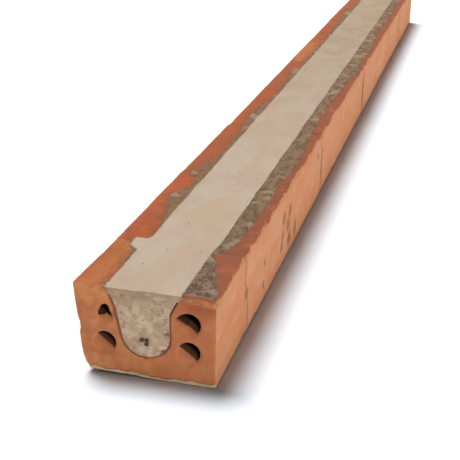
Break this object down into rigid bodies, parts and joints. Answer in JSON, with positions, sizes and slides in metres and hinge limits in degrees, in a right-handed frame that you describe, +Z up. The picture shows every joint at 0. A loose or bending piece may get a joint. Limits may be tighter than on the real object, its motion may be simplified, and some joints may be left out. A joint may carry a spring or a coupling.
{
  "type": "brick lintel",
  "caption": "Straight lintel of U-shaped fired-clay shells with round holes in their walls, filled with prestressed concrete trowelled flat on top.",
  "frame": {"origin": "middle of the underside", "axes": "+X across the lintel, +Y along its length, +Z up out of the trowelled top"},
  "size_m": [0.12, 1.8, 0.08],
  "materials": {
    "fired_clay": "fired, unglazed, matte",
    "concrete": "cast, trowelled on top, rough at the edges",
    "wire": "drawn, cut off, rusty"
  },
  "bodies": {
    "root": {"clay_shell_01": "fired_clay", "clay_shell_02": "fired_clay", "clay_shell_03": "fired_clay", "clay_shell_04": "fired_clay", "clay_shell_05": "fired_clay", "clay_shell_06": "fired_clay", "clay_shell_07": "fired_clay", "clay_shell_08": "fired_clay", "clay_shell_09": "fired_clay", "clay_shell_10": "fired_clay", "concrete_core": "concrete", "prestressing_wire_1": "wire", "prestressing_wire_2": "wire", "prestressing_wire_3": "wire"}
  },
  "joints": []
}
